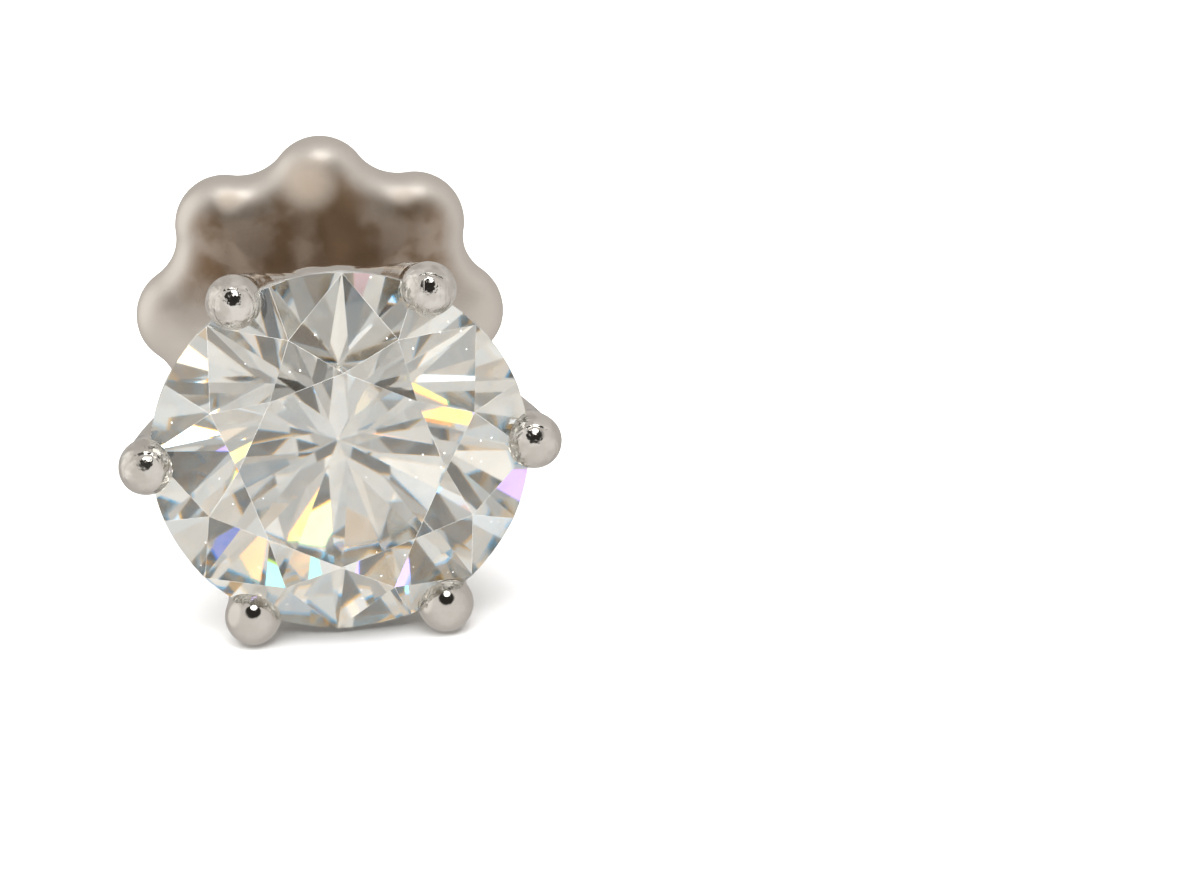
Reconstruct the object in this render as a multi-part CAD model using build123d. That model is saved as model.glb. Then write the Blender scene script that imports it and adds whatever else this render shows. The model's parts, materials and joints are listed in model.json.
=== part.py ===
"""Solitaire stud earring: a round brilliant stone in a six-prong crown setting, an ear post
and a scalloped screw back, resting on its two lower prongs and the back as it lies when unworn.

Every piece is built in the stud's own frame, with the girdle's middle at the origin, +Z out
through the table, +Y up and +X to the right. It is then laid down in the row frame, with +Z up
and the stone facing -Y. The origin is the bottom centre of the whole stud's box.
"""

import math
import os

from build123d import *

# Stone: a round brilliant of about one carat (mm, degrees)
GIRDLE_RADIUS = 3.20
GIRDLE_THICKNESS = 0.14
TABLE_RATIO = 0.545
CROWN_HEIGHT = 0.90
STAR_LENGTH = 0.50
PAVILION_ANGLE = 40.9
LOWER_HALF_LENGTH = 0.86
CULET_RADIUS = 0.03
STONE_TURN = -3.8
MAIN_FACETS = 8

# Setting: six ball-tipped prongs that widen into a ring with a closed back
PRONG_COUNT = 6
BEAD_RADIUS = 0.475
BEAD_CIRCLE_RADIUS = 3.28
BEAD_HEIGHT = 0.17
CROWN_BEND_RADIUS = 2.66
CROWN_BEND_DEPTH = 1.60
CROWN_FOOT_RADIUS = 1.62
CROWN_FOOT_DEPTH = 3.40
CROWN_RING_THICKNESS = 0.56
ARCH_BOTTOM_DEPTH = 2.80
PLATE_THICKNESS = 0.55
PLATE_EDGE_TAPER = 0.12
SEAT_GAP = 0.03
PRONG_SECTIONS = (
    {"height": BEAD_HEIGHT, "half_width": 0.42, "half_thickness": 0.42},
    {"height": -0.60, "half_width": 0.48, "half_thickness": 0.40},
    {"height": -1.40, "half_width": 0.52, "half_thickness": 0.36},
    {"height": -2.20, "half_width": 0.64, "half_thickness": 0.32},
    {"height": -2.90, "half_width": 0.90, "half_thickness": 0.27},
)

# Ear post: a plain shank through the lobe, a relief groove and the tail that carries the back
SHANK_RADIUS = 0.475
SHANK_LENGTH = 2.10
RELIEF_RADIUS = 0.31
RELIEF_LENGTH = 0.55
TAIL_RADIUS = 0.40
POST_LENGTH = 9.40
POST_TIP_ROUNDING = 0.25
POST_SEAT_GAP = 0.02
SHOULDER_CHAMFER = 0.07

# Screw back: an eight-lobed nut with a short hub behind
LOBE_COUNT = 8
LOBE_OUTER_RADIUS = 3.22
LOBE_VALLEY_RADIUS = 2.79
BACK_THICKNESS = 1.50
BACK_MIDDLE_DEPTH = 7.00
BACK_EDGE_ROUNDING = 0.60
BACK_TURN = -3.0
HUB_RADIUS = 1.35
HUB_LENGTH = 0.90
HUB_EDGE_ROUNDING = 0.30
BORE_CLEARANCE = 0.03
BORE_LEAD_IN = 0.12

# Derived sizes
HALF_GIRDLE = GIRDLE_THICKNESS / 2
TABLE_HEIGHT = CROWN_HEIGHT + HALF_GIRDLE
TABLE_RADIUS = GIRDLE_RADIUS * TABLE_RATIO
PAVILION_SLOPE = math.tan(math.radians(PAVILION_ANGLE))
CULET_HEIGHT = -HALF_GIRDLE - GIRDLE_RADIUS * PAVILION_SLOPE
FACET_STEP = 360 / MAIN_FACETS
PRONG_STEP = 360 / PRONG_COUNT
LOBE_STEP = 360 / LOBE_COUNT
PLATE_BACK = -CROWN_FOOT_DEPTH - PLATE_THICKNESS
BORE_CUT_LENGTH = 2 * (BACK_THICKNESS + HUB_LENGTH)


def polar(radius, angle, height=0.0):
    """Point at a radius and an angle in degrees about the stud's axis."""
    turn = math.radians(angle)
    return Vector(radius * math.cos(turn), radius * math.sin(turn), height)


def cut_facet(solid, first, second, third):
    """Cut the solid by the plane through three points, and keep the side with the axis."""
    normal = (second - first).cross(third - first).normalized()
    middle = Vector(0, 0, 0)
    if (middle - first).dot(normal) > 0:
        normal = -normal
    return split(solid, bisect_by=Plane(origin=first, z_dir=normal), keep=Keep.BOTTOM)


def stone_points(angle):
    """Corners of the crown and pavilion facets beside one main facet at this angle."""
    half_step = FACET_STEP / 2
    table_edge = TABLE_RADIUS * math.cos(math.radians(half_step))
    star_tip = table_edge + STAR_LENGTH * (GIRDLE_RADIUS - table_edge)
    crown_slope = CROWN_HEIGHT / (GIRDLE_RADIUS - TABLE_RADIUS)
    star_reach = star_tip * math.cos(math.radians(half_step))
    star_height = TABLE_HEIGHT - (star_reach - TABLE_RADIUS) * crown_slope
    lower_tip = (1 - LOWER_HALF_LENGTH) * GIRDLE_RADIUS
    lower_reach = lower_tip * math.cos(math.radians(half_step))
    lower_height = CULET_HEIGHT + lower_reach * PAVILION_SLOPE
    return {
        "table": polar(TABLE_RADIUS, angle, TABLE_HEIGHT),
        "next_table": polar(TABLE_RADIUS, angle + FACET_STEP, TABLE_HEIGHT),
        "star_before": polar(star_tip, angle - half_step, star_height),
        "star_after": polar(star_tip, angle + half_step, star_height),
        "girdle_top": polar(GIRDLE_RADIUS, angle, HALF_GIRDLE),
        "girdle_top_before": polar(GIRDLE_RADIUS, angle - half_step, HALF_GIRDLE),
        "girdle_top_after": polar(GIRDLE_RADIUS, angle + half_step, HALF_GIRDLE),
        "girdle_foot": polar(GIRDLE_RADIUS, angle, -HALF_GIRDLE),
        "girdle_foot_before": polar(GIRDLE_RADIUS, angle - half_step, -HALF_GIRDLE),
        "girdle_foot_after": polar(GIRDLE_RADIUS, angle + half_step, -HALF_GIRDLE),
        "lower_before": polar(lower_tip, angle - half_step, lower_height),
        "lower_after": polar(lower_tip, angle + half_step, lower_height),
    }


def make_stone():
    """Round brilliant: table, 8 stars, 8 kites, 16 upper halves, 8 mains, 16 lower halves."""
    culet_cut = CULET_HEIGHT + CULET_RADIUS * PAVILION_SLOPE
    height = TABLE_HEIGHT - culet_cut
    blank = Cylinder(GIRDLE_RADIUS, height, align=(Align.CENTER, Align.CENTER, Align.MIN))
    stone = Pos(0, 0, culet_cut) * blank
    culet = Vector(0, 0, CULET_HEIGHT)
    for index in range(MAIN_FACETS):
        p = stone_points(90 + STONE_TURN + index * FACET_STEP)
        stone = cut_facet(stone, p["table"], p["star_before"], p["star_after"])
        stone = cut_facet(stone, p["table"], p["next_table"], p["star_after"])
        stone = cut_facet(stone, p["girdle_top"], p["girdle_top_before"], p["star_before"])
        stone = cut_facet(stone, p["girdle_top"], p["girdle_top_after"], p["star_after"])
        stone = cut_facet(stone, culet, p["lower_before"], p["lower_after"])
        stone = cut_facet(stone, p["girdle_foot"], p["girdle_foot_before"], p["lower_before"])
        stone = cut_facet(stone, p["girdle_foot"], p["girdle_foot_after"], p["lower_after"])
    return stone


def stone_seat():
    """Turned form of the stone with a small gap all round, cut out of the prongs."""
    corners = stone_points(0)
    star_tip = corners["star_before"]
    lower_tip = corners["lower_before"]
    reach = GIRDLE_RADIUS + SEAT_GAP
    rim = HALF_GIRDLE + SEAT_GAP
    outline = Polyline(
        (0, TABLE_HEIGHT + SEAT_GAP),
        (TABLE_RADIUS + SEAT_GAP, TABLE_HEIGHT + SEAT_GAP),
        (math.hypot(star_tip.X, star_tip.Y) + SEAT_GAP, star_tip.Z + SEAT_GAP),
        (reach, rim),
        (reach, -rim),
        (math.hypot(lower_tip.X, lower_tip.Y) + SEAT_GAP, lower_tip.Z - SEAT_GAP),
        (0, CULET_HEIGHT - SEAT_GAP),
        close=True,
    )
    return revolve(Plane.XZ * make_face(outline), axis=Axis.Z)


def wall_radius(height):
    """Radius of the middle of the crown's wall at a height, through its tip, bend and foot."""
    knots = (
        (BEAD_HEIGHT, BEAD_CIRCLE_RADIUS),
        (-CROWN_BEND_DEPTH, CROWN_BEND_RADIUS),
        (-CROWN_FOOT_DEPTH, CROWN_FOOT_RADIUS),
    )
    radius = 0
    for here, value in knots:
        others = [other for other, _ in knots if other != here]
        share = math.prod((height - other) / (here - other) for other in others)
        radius += share * value
    return radius


def make_prong():
    """One prong at angle 0, lofted through ellipses that widen towards the crown's ring."""
    sections = []
    for row in PRONG_SECTIONS:
        place = Pos(wall_radius(row["height"]), 0, row["height"])
        sections.append(place * Ellipse(row["half_thickness"], row["half_width"]))
    return loft(sections)


def crown_ring():
    """Turned ring below the arches with its closed back plate."""
    half = CROWN_RING_THICKNESS / 2
    middle_height = -(ARCH_BOTTOM_DEPTH + CROWN_FOOT_DEPTH) / 2
    rim = wall_radius(-ARCH_BOTTOM_DEPTH)
    middle = wall_radius(middle_height)
    foot_out = CROWN_FOOT_RADIUS + half
    foot_in = CROWN_FOOT_RADIUS - half
    lip = ThreePointArc(
        (rim - half, -ARCH_BOTTOM_DEPTH),
        (rim, half - ARCH_BOTTOM_DEPTH),
        (rim + half, -ARCH_BOTTOM_DEPTH),
    )
    outer = ThreePointArc(
        (rim + half, -ARCH_BOTTOM_DEPTH),
        (middle + half, middle_height),
        (foot_out, -CROWN_FOOT_DEPTH),
    )
    back = Polyline(
        (foot_out, -CROWN_FOOT_DEPTH),
        (foot_out - PLATE_EDGE_TAPER, PLATE_BACK),
        (0, PLATE_BACK),
        (0, -CROWN_FOOT_DEPTH),
        (foot_in, -CROWN_FOOT_DEPTH),
    )
    inner = ThreePointArc(
        (foot_in, -CROWN_FOOT_DEPTH),
        (middle - half, middle_height),
        (rim - half, -ARCH_BOTTOM_DEPTH),
    )
    profile = make_face(lip.edges() + outer.edges() + back.edges() + inner.edges())
    return revolve(Plane.XZ * profile, axis=Axis.Z)


def make_setting():
    """Ring, six ball-tipped prongs and the notch for the stone, soldered into one piece."""
    setting = crown_ring()
    prong = make_prong()
    bead = Pos(BEAD_CIRCLE_RADIUS, 0, BEAD_HEIGHT) * Sphere(BEAD_RADIUS)
    for index in range(PRONG_COUNT):
        setting += Rot(0, 0, index * PRONG_STEP) * (prong + bead)
    return setting - stone_seat()


def make_ear_post():
    """Post on the back plate: plain shank, shoulder, relief groove, tail and rounded tip."""
    relief_end = SHANK_LENGTH + RELIEF_LENGTH
    tip_start = POST_LENGTH - POST_TIP_ROUNDING
    flat_tip = TAIL_RADIUS - POST_TIP_ROUNDING
    side = Polyline(
        (0, 0),
        (SHANK_RADIUS, 0),
        (SHANK_RADIUS, SHANK_LENGTH - SHOULDER_CHAMFER),
        (SHANK_RADIUS - SHOULDER_CHAMFER, SHANK_LENGTH),
        (RELIEF_RADIUS, SHANK_LENGTH),
        (RELIEF_RADIUS, relief_end),
        (TAIL_RADIUS, relief_end + TAIL_RADIUS - RELIEF_RADIUS),
        (TAIL_RADIUS, tip_start),
    )
    tip = RadiusArc((TAIL_RADIUS, tip_start), (flat_tip, POST_LENGTH), -POST_TIP_ROUNDING)
    close = Polyline((flat_tip, POST_LENGTH), (0, POST_LENGTH), (0, 0))
    profile = make_face(side.edges() + tip.edges() + close.edges())
    post = revolve(Plane.XZ * profile, axis=Axis.Z)
    return Pos(0, 0, PLATE_BACK - POST_SEAT_GAP) * Rot(180, 0, 0) * post


def lobe_arc_radius():
    """Radius shared by the lobes' and the valleys' arcs, which meet in tangency."""
    reach = LOBE_OUTER_RADIUS + LOBE_VALLEY_RADIUS
    rise = LOBE_OUTER_RADIUS - LOBE_VALLEY_RADIUS
    share = 2 * (1 + math.cos(math.radians(LOBE_STEP / 2)))
    square = share - 4
    linear = -share * rise
    constant = reach**2 - share * LOBE_OUTER_RADIUS * LOBE_VALLEY_RADIUS
    return (-linear - math.sqrt(linear**2 - 4 * square * constant)) / (2 * square)


def lobed_outline():
    """Scalloped outline of the screw back, made of tangent arcs."""
    arc_radius = lobe_arc_radius()
    arcs = []
    for index in range(LOBE_COUNT):
        angle = 90 + BACK_TURN + index * LOBE_STEP
        lobe_middle = polar(LOBE_OUTER_RADIUS - arc_radius, angle)
        valley_before = polar(LOBE_VALLEY_RADIUS + arc_radius, angle - LOBE_STEP / 2)
        valley_after = polar(LOBE_VALLEY_RADIUS + arc_radius, angle + LOBE_STEP / 2)
        next_lobe = polar(LOBE_OUTER_RADIUS - arc_radius, angle + LOBE_STEP)
        start = (lobe_middle + valley_before) / 2
        end = (lobe_middle + valley_after) / 2
        next_start = (valley_after + next_lobe) / 2
        arcs.append(ThreePointArc(start, polar(LOBE_OUTER_RADIUS, angle), end))
        arcs.append(ThreePointArc(end, polar(LOBE_VALLEY_RADIUS, angle + LOBE_STEP / 2), next_start))
    return make_face(arcs)


def make_screw_back():
    """Lobed nut with soft rims, a short hub behind and a bore that runs on the post's tail."""
    half = BACK_THICKNESS / 2
    disc = extrude(lobed_outline(), amount=half, both=True)
    rims = disc.edges().group_by(Axis.Z)
    disc = fillet(rims[0] + rims[-1], BACK_EDGE_ROUNDING)
    hub = Pos(0, 0, -half) * Cylinder(
        HUB_RADIUS, HUB_LENGTH, align=(Align.CENTER, Align.CENTER, Align.MAX)
    )
    hub = fillet(hub.edges().group_by(Axis.Z)[0], HUB_EDGE_ROUNDING)
    bore_radius = TAIL_RADIUS + BORE_CLEARANCE
    nut = disc + hub - Cylinder(bore_radius, BORE_CUT_LENGTH)
    flare = Cone(bore_radius, bore_radius + BORE_LEAD_IN, BORE_LEAD_IN)
    lead_in = Pos(0, 0, half - BORE_LEAD_IN / 2) * flare
    return Pos(0, 0, -BACK_MIDDLE_DEPTH) * (nut - lead_in)


def rest_tilt():
    """Angle in degrees that brings the two lower beads and the screw back's foot lobe level."""
    arc_radius = lobe_arc_radius()
    bead_drop = BEAD_CIRCLE_RADIUS * math.cos(math.radians(PRONG_STEP / 2))
    lobe_drop = (LOBE_OUTER_RADIUS - arc_radius) * math.cos(math.radians(BACK_TURN)) + arc_radius
    rim_drop = lobe_drop - BACK_EDGE_ROUNDING
    rim_depth = BACK_MIDDLE_DEPTH + BACK_THICKNESS / 2 - BACK_EDGE_ROUNDING
    across = bead_drop - rim_drop
    along = rim_depth + BEAD_HEIGHT
    gain = BACK_EDGE_ROUNDING - BEAD_RADIUS
    return math.degrees(math.asin(-gain / math.hypot(across, along)) + math.atan2(across, along))


tilt = rest_tilt()
laid = Rot(90 - tilt, 0, 0)
pieces = {
    "stone": make_stone(),
    "setting": make_setting(),
    "ear_post": make_ear_post(),
    "screw_back": make_screw_back(),
}
pieces = {name: laid * piece for name, piece in pieces.items()}
whole = Compound(list(pieces.values())).bounding_box()
shift = Pos(-whole.center().X, -whole.center().Y, -whole.min.Z)
os.makedirs("parts", exist_ok=True)
for name, piece in pieces.items():
    export_step(shift * piece, f"parts/{name}.step")

girdle_middle = (shift * laid * Pos(0, 0, 0)).position
print("rest tilt in degrees", round(tilt, 4))
print("girdle middle in mm", [round(value, 4) for value in girdle_middle])
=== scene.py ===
import json
import math
from collections import namedtuple

import bmesh
import bpy
import numpy as np
from mathutils import Matrix, Vector


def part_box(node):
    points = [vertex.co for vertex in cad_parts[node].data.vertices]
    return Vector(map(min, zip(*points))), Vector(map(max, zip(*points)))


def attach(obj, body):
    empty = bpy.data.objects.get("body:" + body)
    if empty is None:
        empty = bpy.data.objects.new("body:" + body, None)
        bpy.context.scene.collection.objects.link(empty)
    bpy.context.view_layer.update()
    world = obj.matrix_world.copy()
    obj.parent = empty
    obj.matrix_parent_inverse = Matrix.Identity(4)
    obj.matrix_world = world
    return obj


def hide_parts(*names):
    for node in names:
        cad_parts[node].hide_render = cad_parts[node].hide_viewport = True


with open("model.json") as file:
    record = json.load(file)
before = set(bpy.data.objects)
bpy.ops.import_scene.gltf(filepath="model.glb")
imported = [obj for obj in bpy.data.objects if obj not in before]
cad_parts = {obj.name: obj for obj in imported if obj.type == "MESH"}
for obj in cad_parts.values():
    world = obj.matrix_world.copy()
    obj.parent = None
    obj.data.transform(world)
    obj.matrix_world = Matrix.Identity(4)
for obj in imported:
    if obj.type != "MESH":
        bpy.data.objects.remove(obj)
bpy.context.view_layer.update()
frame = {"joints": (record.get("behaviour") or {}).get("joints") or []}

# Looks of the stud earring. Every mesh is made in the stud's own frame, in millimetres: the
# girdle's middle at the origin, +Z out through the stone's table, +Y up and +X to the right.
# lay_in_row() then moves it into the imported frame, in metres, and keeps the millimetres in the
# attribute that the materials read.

# Lengths are in millimetres and angles in degrees unless a comment says otherwise.
MM = 0.001  # one millimetre in metres
TINY = 1e-6

# How near points are taken for one: where a plane cuts, in the cut stone and in a made mesh
CUT_REACH = 1e-5
WELD_REACH = 1e-4
MERGE_REACH = 0.0002

# Stone
GIRDLE_RADIUS = 3.20
GIRDLE_THICKNESS = 0.14
TABLE_RATIO = 0.545
CROWN_HEIGHT = 0.90
STAR_LENGTH = 0.50
PAVILION_ANGLE = 40.9
LOWER_HALF_LENGTH = 0.86
CULET_RADIUS = 0.03
STONE_TURN = -3.8
MAIN_FACETS = 8
GIRDLE_SEGMENTS = 128
STONE_IOR = 2.417
STONE_FIRE = (
    {"ior": 2.385, "colour": (2.0, 1.0, 0.0)},
    {"ior": 2.450, "colour": (0.0, 1.0, 2.0)},
)
STONE_TINT = (0.955, 0.955, 0.945)
STONE_SOFTNESS = 0.06
STONE_EDGE_WEAR = 0.014
WORN_EDGE_LEAST_ANGLE = 2
GIRDLE_FACE_TILT = 0.1  # largest upward part of a girdle face's normal
GIRDLE_SLOT = 1
WORN_EDGE_SLOT = 2

# Setting
PRONG_COUNT = 6
BEAD_RADIUS = 0.475
BEAD_CIRCLE_RADIUS = 3.28
BEAD_HEIGHT = 0.17
CROWN_BEND_RADIUS = 2.66
CROWN_BEND_DEPTH = 1.60
CROWN_FOOT_RADIUS = 1.62
CROWN_FOOT_DEPTH = 3.40
CROWN_RING_THICKNESS = 0.56
ARCH_BOTTOM_DEPTH = 2.80
PLATE_THICKNESS = 0.55
PLATE_EDGE_TAPER = 0.12
NOTCH_GAP = 0.010
PRONG_SECTIONS = (
    {"height": BEAD_HEIGHT, "half_width": 0.45, "half_thickness": 0.41},
    {"height": -0.60, "half_width": 0.48, "half_thickness": 0.40},
    {"height": -1.40, "half_width": 0.52, "half_thickness": 0.36},
    {"height": -2.20, "half_width": 0.64, "half_thickness": 0.32},
    {"height": -2.90, "half_width": 0.90, "half_thickness": 0.27},
)
SETTING_STEP = 0.040
SETTING_MARGIN = 3 * SETTING_STEP
SETTING_CREASE = 40
PRONG_BLEND = 0.22
BEAD_BLEND = 0.07
WAVE_DEPTH = 0.010
WAVE_LENGTHS = (0.83, 0.61, 0.97)

# Screw back
LOBE_COUNT = 8
LOBE_OUTER_RADIUS = 3.22
LOBE_VALLEY_RADIUS = 2.79
BACK_TURN = -3.0
BACK_THICKNESS = 1.50
BACK_MIDDLE_DEPTH = 7.00
BACK_EDGE_ROUNDING = 0.60
HUB_RADIUS = 1.35
HUB_LENGTH = 0.90
HUB_EDGE_ROUNDING = 0.30
HUB_FILLET = 0.25
BORE_RADIUS = 0.43
BORE_LEAD_IN = 0.12
BORE_CHAMFER = 0.04
BACK_FRONT_ROUNDING = 0.85
BACK_REAR_ROUNDING = 0.82
PUFF_HEIGHT = 0.03
PUFF_BIAS = 1.6  # above 1, the face is most puffed nearer to its rim
BACK_SEGMENTS = 384
BACK_FACE_ROWS = 44
BACK_REAR_ROWS = 14
BACK_ROUNDING_STEPS = 14
BACK_CREASE = 35

# Ear post
SHANK_RADIUS = 0.475
SHANK_LENGTH = 2.10
RELIEF_RADIUS = 0.31
RELIEF_LENGTH = 0.55
TAIL_RADIUS = 0.40
POST_LENGTH = 9.399
POST_TIP_ROUNDING = 0.25
POST_SEAT_GAP = 0.02
SHOULDER_CHAMFER = 0.07
EDGE_BREAK = 0.03
POST_SEGMENTS = 128
POST_TIP_STEPS = 10
POST_CREASE = 30

# Materials. Noise lies mostly in NOISE_SPAN. A span is where a look starts and where it is full,
# and the pair beside it says what it goes from and to.
NOISE_SPAN = (0.3, 0.7)
SMUDGE_SPAN = (0.35, 0.70)

DUST_COLOUR = (0.95, 0.94, 0.92)
DUST_PER_MM = 3.2
DUST_SIZE = 0.060  # a speck's radius, as a share of the 1 / DUST_PER_MM between specks

GIRDLE_COLOUR = (0.95, 0.95, 0.94)
GIRDLE_GRAINS_PER_MM = 30.0
GIRDLE_ROUGHNESS = (0.18, 0.42)
GIRDLE_BUMP = {"Strength": 0.6, "Distance": 0.004 * MM}

# Facet edges, white in patches: partly abrasion, partly painted highlight lines.
EDGE_ABRASION_AND_HIGHLIGHT_COLOUR = (0.97, 0.96, 0.93)
WORN_EDGE_ROUGHNESS = 0.25
EDGE_ABRASION_AND_HIGHLIGHT_PER_MM = 1.3
EDGE_ABRASION_AND_HIGHLIGHT_SPAN = (0.40, 0.56)
EDGE_ABRASION_AND_HIGHLIGHT_SHARE = (0.25, 1)

# Polished metal. Heights and depths are in depths of a hairline scratch.
POLISH_COLOUR = (0.80, 0.765, 0.725)
POLISH_SMUDGE_COLOUR = (0.74, 0.705, 0.66)
POLISH_BRIGHT_COLOUR = (0.96, 0.93, 0.89)
POLISH_BRIGHT_PER_MM = 3.4
POLISH_BRIGHT_SPAN = (0.42, 0.60)
POLISH_SMUDGES_PER_MM = 2.2
POLISH_ROUGHNESS = (0.07, 0.17)
POLISH_BUMP = {"Strength": 0.5, "Distance": 0.0015 * MM}
POLISH_GRAINS_PER_MM = 26.0
POLISH_GRAIN_HEIGHT = 0.35
HAIRLINES = (
    {"per_mm": 14.0, "turn": (0.4, 0.2, 0.5)},  # turned about X, Y and Z, in radians
    {"per_mm": 11.0, "turn": (1.3, -0.5, 2.1)},
)
HAIRLINE_SPAN = (0.66, 0.72)
HAIRLINE_STRETCH = (1, 0.03, 0.03)
HAIRLINE_ROUGHNESS = 0.10

# Tool marks on the beads, faint on the lower ones and full on the upper ones
WORKED_HEIGHTS = (-1.5, 1.5)
WORKED_SHARE = (0.12, 1)
WORKED_REACH = (0.50, 0.62)
DENTS_PER_MM = 4.5
DENT_HEIGHT = 50.0
NICKS_PER_MM = 15.0
NICK_HEIGHT = 9.0
SCUFF_DEPTH = 7.0
TOOL_RING_RADIUS = 0.44
TOOL_RING_WIDTH = 0.030
TOOL_RING_DEPTH = 20.0
TOOL_RING_WANDER = 0.16
TOOL_RING_WANDERS_PER_MM = 2.5
TOOL_RING_SPAN = (0.40, 0.52)

# Satin metal of the nut. Heights are in those of its grain.
SATIN_COLOUR = (0.88, 0.825, 0.77)
SATIN_SMUDGES_PER_MM = 1.1
SATIN_ROUGHNESS = (0.26, 0.34)
SATIN_BUMP = {"Strength": 0.4, "Distance": 0.001 * MM}
SATIN_GRAINS_PER_MM = 30.0
SATIN_FRONT_DEPTHS = (-0.3, 0.3)  # from the nut's middle
SATIN_FRONT_ROUGHNESS = (0, 0.18)
TURNING_HEIGHT = 0.15
TURNING_RATE = 90.0  # radians of a ripple per mm of radius
TURNING_WANDER = 0.10
TURNING_WANDERS_PER_MM = 3.0
# Painted shade: a brown on the nut's front face, more of it higher up and in blotches, for the dark
# setting that face mirrors.
PAINTED_SHADE_COLOUR = (0.31, 0.21, 0.135)
PAINTED_SHADE_DEPTHS = (-0.30, -0.02)  # from the nut's front
PAINTED_SHADE_HEIGHTS = (0.0, 1.2)
PAINTED_SHADE_SHARE = (0.15, 1)
PAINTED_SHADE_PATCH_SPAN = (0.40, 0.58)
PAINTED_SHADE_PATCH_SHARE = (0.68, 1)
# Painted highlight: warm pale spots on the nut's top lobes, where the lamp's glints fall, which
# also clear the painted shade there.
PAINTED_HIGHLIGHT_COLOUR = (1.0, 0.88, 0.76)
HIGHLIGHT_SPOT_ROUGHNESS = 0.25
HIGHLIGHT_SPOT_CORE = 0.1
HIGHLIGHT_SPOT_SHADE_LEFT = (0.1, 1)  # share of the painted shade kept, from a spot's core to its edge
PAINTED_HIGHLIGHT_SPOTS = (
    {"radius": 2.62, "angle": 92, "size": 0.66},
    {"radius": 2.85, "angle": 57, "size": 0.40},
    {"radius": 2.85, "angle": 121, "size": 0.40},
)

# Camera, as it stood to the stud
CAMERA_DISTANCE = 160.0
CAMERA_AZIMUTH = -1.7
CAMERA_ELEVATION = 21.5
CAMERA_ROLL = 3.33
CAMERA_LENS = 284.4
CAMERA_SENSOR = 36.0
CAMERA_NEAREST = 1.0
CAMERA_FARTHEST = 10000.0
AIM_RIGHT = 4.392
AIM_UP = 0.177

# Sockets of a Mix node that mixes colours
MIX_SHARE = 0
MIX_FIRST = 6
MIX_SECOND = 7
MIX_RESULT = 2

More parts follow.
